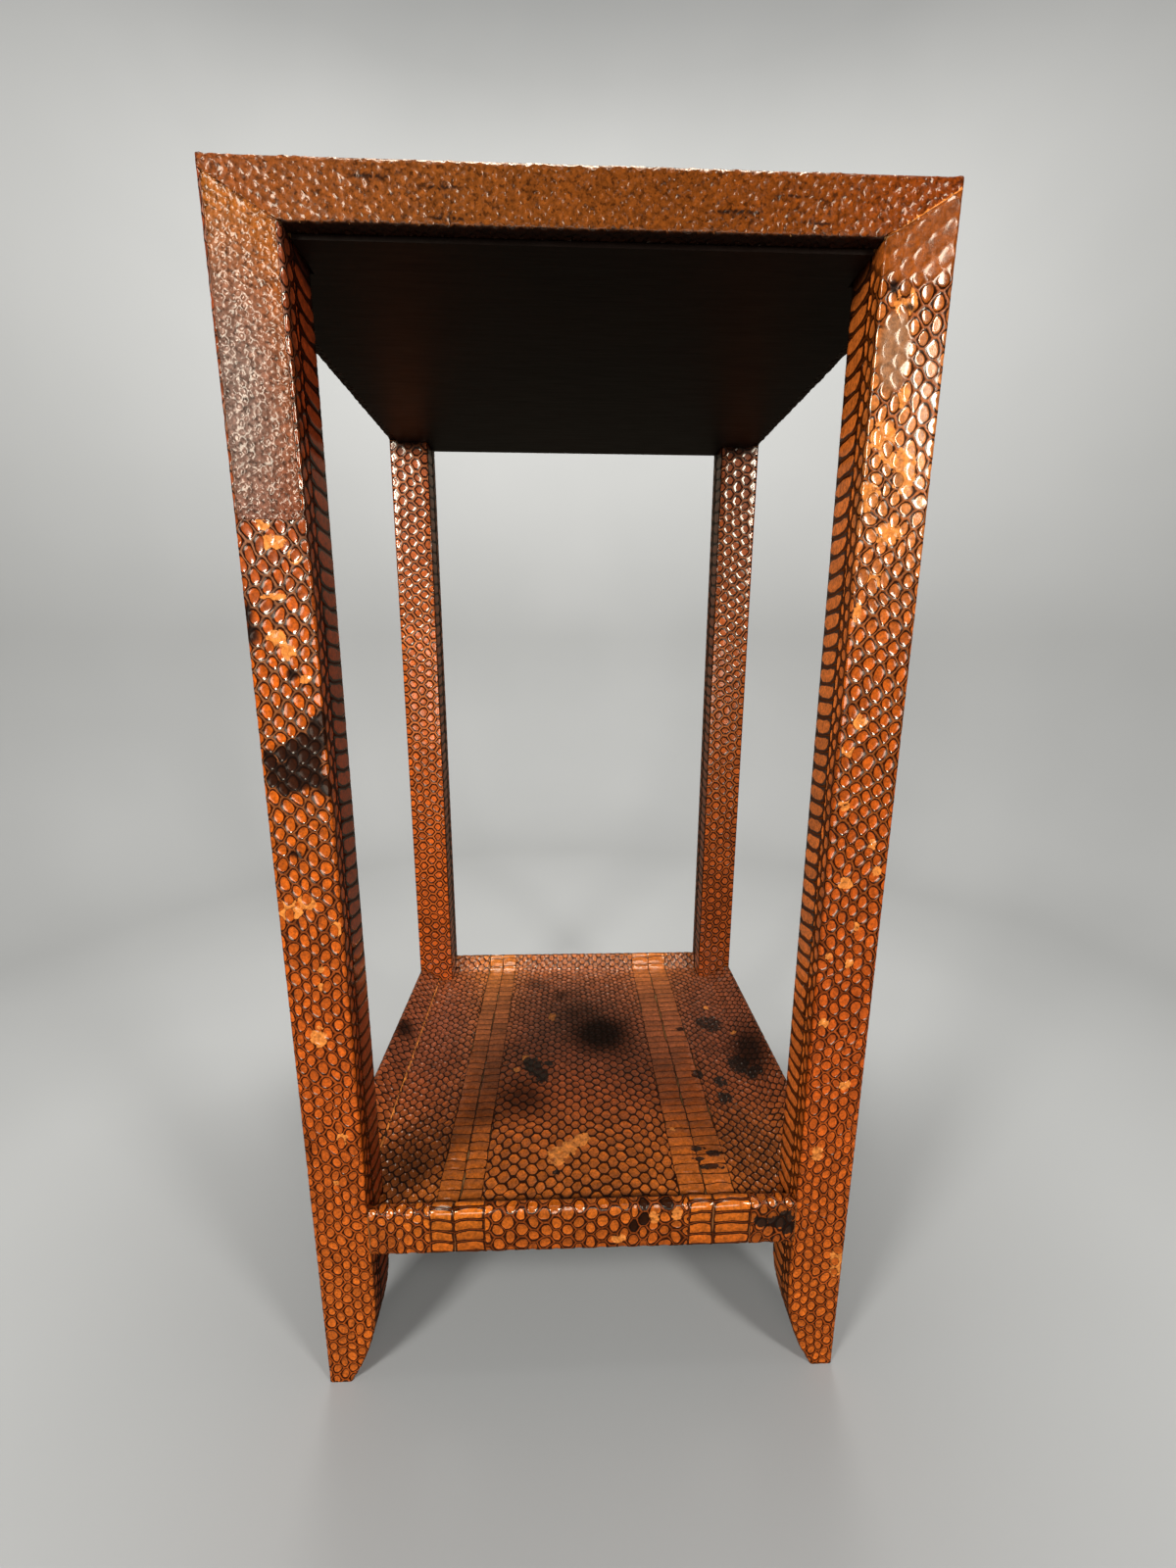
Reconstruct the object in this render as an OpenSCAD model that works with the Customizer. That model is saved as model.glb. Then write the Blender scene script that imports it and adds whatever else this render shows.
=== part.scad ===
// Two-tier side table: a doweled wood frame wrapped in thin lacquered snakeskin.
// Millimetres, +Z up, origin on the floor under the centre of the table.

/* [Table] */
// Width over the outer faces of the legs
table_w = 305; // [260:5:400]
// Depth over the outer faces of the legs
table_d = 302; // [260:1:400]
// Height from the floor to the top surface
table_h = 618; // [450:1:750]
// Thickness of the skins glued over the wood
skin_t = 0.8; // [0.5:0.1:1.2]

/* [Legs] */
// Side of the square leg section, skins included
leg_side = 31; // [30:0.5:40]
// Radius of the eased arrises of the legs
leg_arris_r = 2; // [1.5:0.1:3]
// Height at which the inner faces of the foot start to curve in
foot_h = 60; // [40:1:80]
// Width of the foot where it meets the floor
foot_w = 13.6; // [10:0.2:20]
// Height of the skin's cut lower edge above the floor
skin_hem = 0.5; // [0.3:0.1:2]
// Length of the smooth patch on the front left leg, from the slab down to its seam
patch_l = 110; // [60:1:250]

/* [Top] */
// Thickness of the top slab, skins included
top_t = 24; // [22:0.5:32]
// Radius of the upper edge of the slab
top_edge_r = 3; // [2:0.1:4]
// Radius of the lower edge of the slab
low_edge_r = 1.5; // [1.3:0.1:2]
// Width of the four rails inside the slab
top_rail_w = 29; // [26:0.5:29]
// Thickness of the board let into the top rails
top_board_t = 10; // [6:1:12]
// Width of the rebate that carries the top board
top_ledge_w = 8; // [5:0.5:9]
// Rise of the mitre seam from the inner corner to the outer edge of a leg
mitre_rise = 18.5; // [14:0.5:20]

/* [Underside] */
// Thickness of the black boards under the top and the shelf
under_board_t = 2.5; // [1.5:0.1:5]
// Distance from the outer faces to the edge of these boards
under_inset = 7.5; // [7:0.5:12]
// Gap between these boards and the legs
under_leg_gap = 1; // [0.4:0.2:3]
// Width of the skins turned under the rails
turn_under_w = 6.5; // [4:0.5:7]

/* [Shelf] */
// Height of the underside of the shelf rails above the floor
shelf_z = 92; // [80:1:200]
// Height of the shelf rails, skins included
shelf_rail_h = 29; // [26:0.5:40]
// Depth of the shelf floor below the rim
shelf_recess = 11.5; // [8:0.5:14]
// Thickness of the board let into the shelf rails
shelf_board_t = 8; // [5:1:10]
// Width of the rebate that carries the shelf board
shelf_ledge_w = 6; // [4:1:8]
// Radius of the outer upper edge of the rims
rim_edge_r = 3.5; // [2:0.1:3.6]
// Flat width of the rims at the front and back
end_rim_w = 7; // [6:0.5:8]
// Distance from the outer face to the foot of the slope, front and back
end_slope_w = 12; // [10:0.5:14]
// Flat width of the rims at the left and right
side_rim_w = 4; // [4:0.5:6]
// Distance from the outer face to the foot of the slope, left and right
side_slope_w = 22; // [18.5:0.5:23]
// Distance of the slanting seam of the left rim's skin from the left face, at the front leg
left_seam_front = 20.5; // [18:0.5:28]
// Distance of that seam from the left face, at the back leg
left_seam_back = 18.5; // [12:0.5:28]
// Distance of the seams between the three skins of the shelf from its left and right faces
skin_joint_w = 78.5; // [60:0.5:100]

/* [Joinery] */
// Diameter of the dowels
dowel_d = 6; // [5:0.5:6]
// Length of the dowels
dowel_l = 26; // [20:1:26]
// Slack of a dowel in its bore, on the diameter
dowel_slack = 0.2; // [0.1:0.05:0.4]
// Glue space at each end of a dowel
dowel_end_gap = 0.8; // [0.3:0.1:0.9]
// Distance from the faces of a rail to its dowels
dowel_edge = 6; // [5.5:0.25:6.5]
// Height difference between the dowels that enter a leg from its two sides
dowel_stagger = 9; // [8:0.5:10]
// Fitting gap round the boards let into the rails
board_gap = 0.2; // [0.1:0.1:0.5]

/* [Hidden] */
$fn = 96;
wood = "burlywood";
painted = "#1d1714";
skin = "#a8531f";
skin_dark = "#8c3d17";

under_z = table_h - top_t;
leg_core = leg_side - skin_t;
rim_z = shelf_z + shelf_rail_h;
floor_z = rim_z - shelf_recess;
// The foot's curve is an arc that leaves the leg's inner face at foot_h and ends at foot_w
foot_inset = leg_side - foot_w;
foot_r = (foot_h * foot_h + foot_inset * foot_inset) / (2 * foot_inset);
patch_seam_z = under_z - patch_l;
// Depths of the dowels from the outer face: one near it, one near the rebate or the slope
top_dowel_depths = [dowel_edge, top_rail_w - top_ledge_w - dowel_edge + skin_t];
side_dowel_depths = [dowel_edge, side_slope_w - dowel_edge + skin_t];
// Heights of the dowels in the front and back shelf rails, one above the other
end_dowel_heights = [shelf_z + skin_t + dowel_edge, floor_z];
cut = 1;

function is_end(side) = side == "front" || side == "back";
function length_of(side) = is_end(side) ? table_w : table_d;
function rim_w_of(side) = is_end(side) ? end_rim_w : side_rim_w;
function slope_w_of(side) = is_end(side) ? end_slope_w : side_slope_w;
// How far a slope moves across when it is set in by t at right angles to itself
function slope_shift(side, t) =
    let (m = shelf_recess / (slope_w_of(side) - rim_w_of(side)))
    t * (1 - sqrt(1 + m * m)) / m;

// Places a piece drawn for the front left corner, outer arris on the Z axis
module on_corner(right, back) {
    mirror([right ? 1 : 0, 0, 0])
        mirror([0, back ? 1 : 0, 0])
            translate([-table_w / 2, -table_d / 2, 0])
                children();
}

// Places a piece drawn along X with its outer face on the plane y = 0
module on_side(side) {
    if (side == "front") translate([0, -table_d / 2, 0]) children();
    if (side == "back") mirror([0, 1, 0]) translate([0, -table_d / 2, 0]) children();
    if (side == "left") rotate([0, 0, -90]) translate([0, -table_w / 2, 0]) children();
    if (side == "right") mirror([1, 0, 0]) on_side("left") children();
}

// Sweeps a profile drawn in depth and height along X, centred
module sweep(length) {
    rotate([90, 0, 90]) linear_extrude(length, center = true) children();
}

// Sliver outside a round corner of radius r at p, the body lying towards dir
module corner_sliver(p, dir, r) {
    translate(p)
        mirror([dir[0] < 0 ? 1 : 0, 0]) mirror([0, dir[1] < 0 ? 1 : 0])
            difference() {
                translate([-cut, -cut]) square(r + cut);
                translate([r, r]) circle(r);
            }
}

// Square with round corners, set in by t from a square of the given side
module eased_square(side, r, t) {
    difference() {
        translate([t, t]) square(side - 2 * t);
        for (x = [0, 1], y = [0, 1])
            corner_sliver([x ? side - t : t, y ? side - t : t], [x ? -1 : 1, y ? -1 : 1], r - t);
    }
}

// Side view of a leg set in by t: straight outside, curved in at the foot, eased at the top
module leg_outline(t, bottom) {
    difference() {
        intersection() {
            translate([t, bottom]) square([leg_side - 2 * t, table_h - t - bottom]);
            union() {
                translate([-cut, foot_h]) square([leg_side + 2 * cut, table_h]);
                translate([leg_side - foot_r, foot_h]) circle(foot_r - t, $fn = 180);
            }
        }
        corner_sliver([t, table_h - t], [1, -1], top_edge_r - t);
    }
}

module leg_form(t, bottom) {
    intersection() {
        linear_extrude(table_h + cut) eased_square(leg_side, leg_arris_r, t);
        rotate([90, 0, 90]) linear_extrude(leg_side + cut) leg_outline(t, bottom);
        translate([0, leg_side + cut, 0]) rotate([90, 0, 0]) linear_extrude(leg_side + 2 * cut)
            leg_outline(t, bottom);
    }
}

// Dowels of one corner of the top: two from the end rail and two from the side rail
module top_rods(d, l) {
    for (depth = top_dowel_depths) {
        translate([leg_core, depth, under_z + (top_t + dowel_stagger) / 2])
            rotate([0, 90, 0]) cylinder(h = l, d = d, center = true, $fn = 32);
        translate([depth, leg_core, under_z + (top_t - dowel_stagger) / 2])
            rotate([90, 0, 0]) cylinder(h = l, d = d, center = true, $fn = 32);
    }
}

// Dowels of one corner of the shelf: the end rail's stand one above the other
module shelf_rods(d, l) {
    for (z = end_dowel_heights)
        translate([leg_core, dowel_edge, z])
            rotate([0, 90, 0]) cylinder(h = l, d = d, center = true, $fn = 32);
    for (depth = side_dowel_depths)
        translate([depth, leg_core, (end_dowel_heights[0] + end_dowel_heights[1]) / 2])
            rotate([90, 0, 0]) cylinder(h = l, d = d, center = true, $fn = 32);
}

module every_corner() {
    for (right = [false, true], back = [false, true]) on_corner(right, back) children();
}

module top_bores() top_rods(dowel_d + dowel_slack, dowel_l + 2 * dowel_end_gap);
module shelf_bores() shelf_rods(dowel_d + dowel_slack, dowel_l + 2 * dowel_end_gap);

module leg(right, back) {
    color(wood) on_corner(right, back) difference() {
        leg_form(skin_t, 0);
        top_bores();
        shelf_bores();
    }
}

// Section of a top rail: eased outer edges and a rebate for the board
module top_rail_section() {
    difference() {
        translate([skin_t, under_z + skin_t]) square([top_rail_w - skin_t, top_t - 2 * skin_t]);
        translate([top_rail_w - top_ledge_w, table_h - skin_t - top_board_t])
            square([top_ledge_w + cut, top_board_t + cut]);
        corner_sliver([skin_t, table_h - skin_t], [1, -1], top_edge_r - skin_t);
        corner_sliver([skin_t, under_z + skin_t], [1, 1], low_edge_r - skin_t);
    }
}

module top_rail(side) {
    color(wood) difference() {
        on_side(side) sweep(length_of(side) - 2 * leg_core) top_rail_section();
        every_corner() top_bores();
    }
}

// Plate between z and z + t, set in from the outer faces and cut out round the legs
module notched_plate(inset_w, inset_d, notch, z, t) {
    translate([0, 0, z]) linear_extrude(t) difference() {
        square([table_w - 2 * inset_w, table_d - 2 * inset_d], center = true);
        for (x = [-1, 1], y = [-1, 1])
            translate([x * table_w / 2, y * table_d / 2]) square(2 * notch, center = true);
    }
}

module top_board() {
    inset = top_rail_w - top_ledge_w + board_gap;
    board_z = table_h - skin_t - top_board_t;
    color(wood) notched_plate(inset, inset, leg_core + board_gap, board_z, top_board_t);
}

module underside_board(rail_bottom) {
    color(painted) notched_plate(under_inset, under_inset, leg_side + under_leg_gap,
        rail_bottom + skin_t - under_board_t, under_board_t);
}

// Outline of a shelf rail set in by t: eased rim and slope, then the rebate's ledge or a
// stretch of the shelf floor
module tray_outline(side, t, ledge_w = 0, floor_w = 0) {
    rim = rim_w_of(side) + slope_shift(side, t);
    foot = slope_w_of(side) + slope_shift(side, t);
    inner = slope_w_of(side) + ledge_w + floor_w;
    ledge_z = floor_z - t - shelf_board_t;
    difference() {
        polygon(concat(
            [[t, shelf_z + t], [t, rim_z - t], [rim, rim_z - t], [foot, floor_z - t]],
            ledge_w > 0 ? [[foot, ledge_z], [inner, ledge_z]] : [[inner, floor_z - t]],
            [[inner, shelf_z + t]]));
        corner_sliver([t, rim_z - t], [1, -1], rim_edge_r - t);
        corner_sliver([t, shelf_z + t], [1, 1], low_edge_r - t);
    }
}

module shelf_rail_section(side) {
    tray_outline(side, skin_t, shelf_ledge_w);
}

module shelf_rail(side) {
    color(wood) difference() {
        on_side(side) sweep(length_of(side) - 2 * leg_core) shelf_rail_section(side);
        every_corner() shelf_bores();
    }
}

module shelf_board() {
    color(wood) notched_plate(
        side_slope_w + slope_shift("left", skin_t) + board_gap,
        end_slope_w + slope_shift("front", skin_t) + board_gap,
        leg_side + board_gap, floor_z - skin_t - shelf_board_t, shelf_board_t);
}

// Space of a leg's skin: below the slab, and inside the mitre lines above its underside
module mitred_corner() {
    mitre = [[-cut, 0], [leg_side, 0], [leg_side, under_z],
        [-cut, under_z + mitre_rise * (leg_side + cut) / leg_side]];
    intersection() {
        translate([0, leg_side + cut, 0])
            rotate([90, 0, 0]) linear_extrude(leg_side + 2 * cut) polygon(mitre);
        translate([-cut, 0, 0]) rotate([90, 0, 90]) linear_extrude(leg_side + 2 * cut) polygon(mitre);
    }
}

// Where the shelf rails meet a leg's wood, its skin is cut away round them
module rail_cutouts() {
    translate([leg_side, 0, 0]) sweep(leg_side) shelf_rail_section("front");
    translate([0, leg_side, 0]) rotate([0, 0, -90]) sweep(leg_side) shelf_rail_section("left");
}

module patch_area() {
    translate([leg_arris_r, -cut, patch_seam_z])
        cube([leg_side - 2 * leg_arris_r, cut + skin_t, table_h - patch_seam_z]);
}

module leg_wrap() {
    difference() {
        intersection() {
            leg_form(0, skin_hem);
            mitred_corner();
        }
        leg_form(skin_t, -cut);
        rail_cutouts();
    }
}

module leg_skin(right, back) {
    color(skin) on_corner(right, back) difference() {
        leg_wrap();
        if (!right && !back) patch_area();
    }
}

module leg_patch_front_left() {
    color(skin_dark) on_corner(false, false) intersection() {
        leg_wrap();
        patch_area();
    }
}

// The slab's outer form set in by t, all edges eased
module slab_form(t) {
    intersection() {
        linear_extrude(table_h - t) difference() {
            square([table_w - 2 * t, table_d - 2 * t], center = true);
            for (x = [-1, 1], y = [-1, 1])
                corner_sliver([x * (table_w / 2 - t), y * (table_d / 2 - t)], [-x, -y], leg_arris_r - t);
        }
        sweep(table_w) slab_outline(table_d, t);
        rotate([0, 0, 90]) sweep(table_d) slab_outline(table_w, t);
    }
}

module slab_outline(depth, t) {
    difference() {
        translate([t - depth / 2, under_z + t]) square([depth - 2 * t, top_t - 2 * t]);
        for (y = [-1, 1]) {
            corner_sliver([y * (depth / 2 - t), table_h - t], [-y, -1], top_edge_r - t);
            corner_sliver([y * (depth / 2 - t), under_z + t], [-y, 1], low_edge_r - t);
        }
    }
}

// Space of one apron's skin: its face with mitred ends, and the strip turned under the rail
module apron_zone(side) {
    half = length_of(side) / 2;
    mid_z = under_z + top_t / 2;
    translate([0, 0, mid_z]) linear_extrude(top_t)
        polygon([[-half, 0], [half, 0], [half - top_edge_r, top_edge_r], [top_edge_r - half, top_edge_r]]);
    translate([leg_side - half, 0, under_z]) cube([2 * (half - leg_side), turn_under_w, skin_t]);
    translate([0, 0, under_z]) linear_extrude(top_t)
        polygon([[-half, 0], [half, 0], [half - low_edge_r, low_edge_r], [low_edge_r - half, low_edge_r]]);
}

module apron_skin(side) {
    color(skin_dark) difference() {
        intersection() {
            difference() {
                slab_form(0);
                slab_form(skin_t);
            }
            on_side(side) apron_zone(side);
        }
        every_corner() mitred_corner();
    }
}

module top_skin() {
    color(skin) translate([0, 0, table_h - skin_t]) linear_extrude(skin_t)
        square([table_w - 2 * top_edge_r, table_d - 2 * top_edge_r], center = true);
}

// Section of the skin on a shelf rail: face and turned edge, the slope where it covers it, and
// the strip where it runs on over the shelf floor past the foot of the slope
module rim_section(side, face, slope, run_on = 0) {
    skin_end = slope_w_of(side) + run_on;
    intersection() {
        difference() {
            tray_outline(side, 0, floor_w = run_on + cut);
            tray_outline(side, skin_t, floor_w = run_on + cut);
        }
        union() {
            if (face) {
                square([rim_edge_r, rim_z]);
                square([turn_under_w, shelf_z + skin_t]);
            }
            if (slope)
                translate([rim_edge_r, floor_z - skin_t])
                    square([skin_end - rim_edge_r, shelf_recess + skin_t]);
        }
    }
}

module rim_wrap(side, slope) {
    on_side(side) sweep(length_of(side) - 2 * leg_side) rim_section(side, true, slope);
}

// Space over one of the three skins that lie side by side on the shelf: -1 is the left one,
// 0 the middle one and 1 the right one
module skin_strip(place) {
    translate([place * (table_w - skin_joint_w) / 2, 0, 0]) linear_extrude(rim_z + cut)
        square([place == 0 ? table_w - 2 * skin_joint_w : skin_joint_w, table_d + 2 * cut],
            center = true);
}

module end_rim_skin(side, slope, place) {
    color(skin) intersection() {
        rim_wrap(side, slope);
        skin_strip(place);
    }
}

// Space over the left rim up to the slanting seam, where its skin meets the shelf's
module left_of_seam() {
    bay = table_d - 2 * leg_side;
    slant = (left_seam_back - left_seam_front) / bay;
    translate([-table_w / 2, leg_side - table_d / 2, 0]) linear_extrude(rim_z + cut)
        polygon([[-cut, -cut], [left_seam_front - slant * cut, -cut],
            [left_seam_back + slant * cut, bay + cut], [-cut, bay + cut]]);
}

// The left rim's skin runs down its slope to the seam, and on over the floor if the seam
// lies past the foot of the slope
module rim_skin_left() {
    color(skin) intersection() {
        on_side("left") sweep(table_d - 2 * leg_side)
            rim_section("left", true, true, leg_side - side_slope_w);
        left_of_seam();
    }
}

// Three skins cover the shelf floor edge to edge and run up the slopes at the back, left and
// right; the left one meets the left rim's skin at the slanting seam
module shelf_skin(place) {
    color(skin_dark) difference() {
        intersection() {
            union() {
                notched_plate(side_slope_w, end_slope_w, leg_side + board_gap,
                    floor_z - skin_t, skin_t);
                for (side = ["back", "left", "right"])
                    on_side(side) sweep(length_of(side) - 2 * leg_side)
                        rim_section(side, false, true, skin_t);
            }
            skin_strip(place);
        }
        left_of_seam();
    }
}

leg(false, false);  // leg_front_left
leg(true, false);  // leg_front_right
leg(false, true);  // leg_back_left
leg(true, true);  // leg_back_right
top_rail("front");  // top_rail_front
top_rail("back");  // top_rail_back
top_rail("left");  // top_rail_left
top_rail("right");  // top_rail_right
top_board();
underside_board(under_z);  // top_underside_board
color(wood) every_corner() top_rods(dowel_d, dowel_l);  // top_rail_dowels
shelf_rail("front");  // shelf_rail_front
shelf_rail("back");  // shelf_rail_back
shelf_rail("left");  // shelf_rail_left
shelf_rail("right");  // shelf_rail_right
shelf_board();
underside_board(shelf_z);  // shelf_underside_board
color(wood) every_corner() shelf_rods(dowel_d, dowel_l);  // shelf_rail_dowels
leg_skin(false, false);  // leg_skin_front_left
leg_patch_front_left();
leg_skin(true, false);  // leg_skin_front_right
leg_skin(false, true);  // leg_skin_back_left
leg_skin(true, true);  // leg_skin_back_right
apron_skin("front");  // apron_skin_front
apron_skin("back");  // apron_skin_back
apron_skin("left");  // apron_skin_left
apron_skin("right");  // apron_skin_right
top_skin();
shelf_skin(0);
shelf_skin(-1);  // shelf_skin_left
shelf_skin(1);  // shelf_skin_right
end_rim_skin("front", true, 0);  // rim_skin_front
end_rim_skin("front", true, -1);  // rim_skin_front_left
end_rim_skin("front", true, 1);  // rim_skin_front_right
end_rim_skin("back", false, 0);  // rim_skin_back
end_rim_skin("back", false, -1);  // rim_skin_back_left
end_rim_skin("back", false, 1);  // rim_skin_back_right
rim_skin_left();
color(skin) rim_wrap("right", false);  // rim_skin_right
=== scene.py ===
import math
from collections import namedtuple

import bpy
import numpy as np
from mathutils import Matrix, Vector


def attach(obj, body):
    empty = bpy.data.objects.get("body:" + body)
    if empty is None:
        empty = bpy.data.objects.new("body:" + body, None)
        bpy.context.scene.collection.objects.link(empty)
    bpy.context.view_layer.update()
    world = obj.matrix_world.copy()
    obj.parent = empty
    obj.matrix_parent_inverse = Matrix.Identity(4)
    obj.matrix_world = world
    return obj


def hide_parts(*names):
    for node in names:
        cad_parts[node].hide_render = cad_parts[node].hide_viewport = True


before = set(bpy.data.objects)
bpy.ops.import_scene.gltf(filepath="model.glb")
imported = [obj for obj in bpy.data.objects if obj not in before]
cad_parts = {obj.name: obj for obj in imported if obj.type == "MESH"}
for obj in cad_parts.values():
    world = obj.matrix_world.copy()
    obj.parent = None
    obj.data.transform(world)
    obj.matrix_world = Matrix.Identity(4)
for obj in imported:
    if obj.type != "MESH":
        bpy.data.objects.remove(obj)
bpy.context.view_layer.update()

# The wood frame.
# Solid legs, rails, boards and dowels of a plain pale hardwood, sawn, planed and glued.
# The skins cover all of it but the ends of the feet, so it stays as the CAD has it.


class Wire:
    """One value in a node tree. A sum written on it in Python becomes a Math node."""

    def __init__(self, recipe, socket):
        self.recipe, self.socket = recipe, socket

    def math(self, kind, other=0.0, swap=False):
        ends = (other, self) if swap else (self, other)
        return self.recipe.add("ShaderNodeMath", {"operation": kind}, dict(enumerate(ends)))

    def __add__(self, other):
        return self.math("ADD", other)

    def __sub__(self, other):
        return self.math("SUBTRACT", other)

    def __rsub__(self, other):
        return self.math("SUBTRACT", other, swap=True)

    def __mul__(self, other):
        return self.math("MULTIPLY", other)

    def __truediv__(self, other):
        return self.math("DIVIDE", other)

    def __rtruediv__(self, other):
        return self.math("DIVIDE", other, swap=True)

    def __mod__(self, other):
        return self.math("MODULO", other)

    def __lt__(self, other):
        return self.math("LESS_THAN", other)

    __radd__, __rmul__ = __add__, __mul__


class Recipe:
    """The nodes of one finish, or of one shape made by Geometry Nodes."""

    def __init__(self, tree):
        self.tree = tree

    def add(self, kind, settings=None, sockets=None, out=0):
        """Adds a node: its settings first, then the values or wires of its sockets."""
        node = self.tree.nodes.new(kind)
        for name, value in (settings or {}).items():
            setattr(node, name, value)
        for name, value in (sockets or {}).items():
            if isinstance(value, Wire):
                self.tree.links.new(value.socket, node.inputs[name])
            else:
                node.inputs[name].default_value = value
        return Wire(self, node.outputs[out] if len(node.outputs) else None)

    def mix(self, share, first, second, kind="MIX"):
        """Two colours mixed; share is how much of the second."""
        settings = {"data_type": "RGBA", "blend_type": kind}
        return self.add("ShaderNodeMix", settings, {0: share, 6: first, 7: second}, out=2)

    def vector(self, kind, first, second):
        return self.add("ShaderNodeVectorMath", {"operation": kind}, {0: first, 1: second})

    def fade(self, value, low, high):
        """0 below low, 1 above high, and a soft step between them."""
        return self.add("ShaderNodeMapRange", {"interpolation_type": "SMOOTHSTEP"},
                        {"Value": value, "From Min": low, "From Max": high})

    def noise(self, place, size, detail=3.0, rough=0.55):
        """Cloudy variation with blotches of about the given size in metres."""
        return self.add("ShaderNodeTexNoise", {}, {"Vector": place, "Scale": 1 / size,
                                                   "Detail": detail, "Roughness": rough})


def tint(red, green, blue):
    """A colour given as it looks on a screen, 0 to 255, as Blender's shaders want it."""
    part = np.array([red, green, blue]) / 255
    return (*np.where(part <= 0.04045, part / 12.92, ((part + 0.055) / 1.055) ** 2.4), 1.0)


def new_finish(name):
    """An empty material, the recipe for its nodes, and a point's place on the piece."""
    material = bpy.data.materials.new(name)
    material.use_nodes = True
    material.node_tree.nodes.clear()
    r = Recipe(material.node_tree)
    return material, r, r.add("ShaderNodeTexCoord", out="Object")


def hardwood(name, stretch):
    """Pale hardwood; stretch squeezes the figure across the grain."""
    material, r, place = new_finish(name)
    grain = r.add("ShaderNodeMapping", {}, {"Vector": place, "Scale": stretch})
    figure = r.noise(grain, 0.012, 5.0, 0.6)
    pores = r.noise(grain, 0.0012, 2.0)
    colour = r.mix(figure, tint(196, 152, 101), tint(150, 106, 62))
    colour = r.mix(r.fade(pores, 0.55, 0.75) * 0.6, colour, tint(98, 62, 34))
    bump = r.add("ShaderNodeBump", {}, {"Height": pores, "Strength": 0.3, "Distance": 0.0003})
    shader = r.add("ShaderNodeBsdfPrincipled", {}, {
        "Base Color": colour, "Roughness": 0.5 + 0.25 * figure, "Normal": bump})
    r.add("ShaderNodeOutputMaterial", {}, {"Surface": shader})
    return material


upright_wood = hardwood("hardwood, upright grain", (8, 8, 1))
cross_wood = hardwood("hardwood, grain from side to side", (1, 8, 8))
deep_wood = hardwood("hardwood, grain from front to back", (8, 1, 8))

for node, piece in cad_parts.items():
    wood = upright_wood if node.startswith("leg_") else cross_wood
    if node.endswith(("rail_left", "rail_right")):
        wood = deep_wood
    piece.data.materials.clear()
    piece.data.materials.append(wood)

# The black boards under the two tiers.
# Thin boards that close the slab and the shelf from below, set back from the outer faces.
# Brushed with black paint, faintly streaked, with a brown edge where the paint is thin.

black_paint, r, place = new_finish("black board paint")
strokes = r.noise(r.add("ShaderNodeMapping", {}, {"Vector": place, "Scale": (1, 9, 9)}), 0.02, 4.0)
cloud = r.noise(place, 0.09, 3.0)
colour = r.mix(r.fade(cloud, 0.35, 0.7), tint(13, 6, 5), tint(20, 10, 8))
bump = r.add("ShaderNodeBump", {}, {"Height": strokes, "Strength": 0.25, "Distance": 0.0004})
shader = r.add("ShaderNodeBsdfPrincipled", {}, {
    "Base Color": colour, "Roughness": 0.36 + 0.2 * strokes, "Normal": bump,
    "Specular IOR Level": 0.15})
r.add("ShaderNodeOutputMaterial", {}, {"Surface": shader})
for node in ("top_underside_board", "shelf_underside_board"):
    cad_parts[node].data.materials.clear()
    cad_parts[node].data.materials.append(black_paint)

# The leg skins.
# Python skin glued round each leg in one piece, dyed orange brown and lacquered. Its scales are
# sunk ovals in a raised net, wide belly plates on the inner faces. Mitred to the slab's skins.

leg_side = 0.031
arris = 0.002
foot_height, foot_width = 0.060, 0.0136
foot_inset = leg_side - foot_width
foot_radius = (foot_height ** 2 + foot_inset ** 2) / (2 * foot_inset)
under_slab, mitre_rise = 0.594, 0.0185
half_wide, half_deep = 0.1525, 0.151
skin_depth = 0.0008
hem = 0.0005
hair = 0.0001


def put(name, data):
    """Stands a new object in the scene."""
    thing = bpy.data.objects.new(name, data)
    bpy.context.scene.collection.objects.link(thing)
    return thing


def mould(name, rings, middle):
    """A small mesh of rings of points round a middle; each ring has its height, and a mark
    that runs from 0 in the middle to 1 on the net."""
    n = len(rings[0][0])
    points = [(0, 0, middle)] + [(x, y, height) for spots, height, _ in rings for x, y in spots]
    faces = [(0, 1 + k, 1 + (k + 1) % n) for k in range(n)]
    for ring in range(1, n * (len(rings) - 1), n):
        faces += [(ring + k, ring + n + k, ring + n + (k + 1) % n, ring + (k + 1) % n) for k in range(n)]
    mesh = bpy.data.meshes.new(name)
    mesh.from_pydata(points, [], faces)
    marks = mesh.attributes.new("rim", "FLOAT", "POINT")
    marks.data.foreach_set("value", [0] + [mark for _, _, mark in rings for _ in range(n)])
    return bpy.data.objects.new(name, mesh)


Hide = namedtuple("Hide", "scale across along stagger turn shrink drift jitter crinkle grain")


def scales(name, across, along, depth, steps=3, fill=1.0, power=2.0, bowl=((0.62, 0.96), (0.92, 0.56)),
           turn=0.2, shrink=0.24, drift=0.0080, jitter=0.0032, crinkle=0.0002, grain=0.0070):
    """Rows of sunk ovals in a raised net, spaced across and along. Each dips as a shallow bowl;
    a power under 2 makes its outline more of a diamond."""
    near, far = (across / 2 + k * along ** 2 / (8 * across) for k in (-1, 1))
    y = along / 2
    ends = [(far, 0), (near, y), (-near, y), (-far, 0), (-near, -y), (near, -y)]
    border = []
    for start, end in zip(ends, ends[1:] + ends[:1]):
        n = 1 if start[1] == end[1] else steps
        border += [np.add(start, np.subtract(end, start) * i / n) for i in range(n)]
    reach = np.array([across * 0.48, along * 0.415]) * fill
    way = np.array(border) / reach
    oval = way / (np.abs(way) ** power).sum(1)[:, None] ** (1 / power) * reach
    rings = [(oval * share, -depth * low, mark) for (share, low), mark in
             zip((*bowl, (1.0, 0.14)), (0.35, 0.6, 0.82))]
    return Hide(mould(name, rings + [(border, 0, 1)], -depth), across, along, 0.5, turn, shrink, drift,
                jitter, crinkle, grain)


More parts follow.
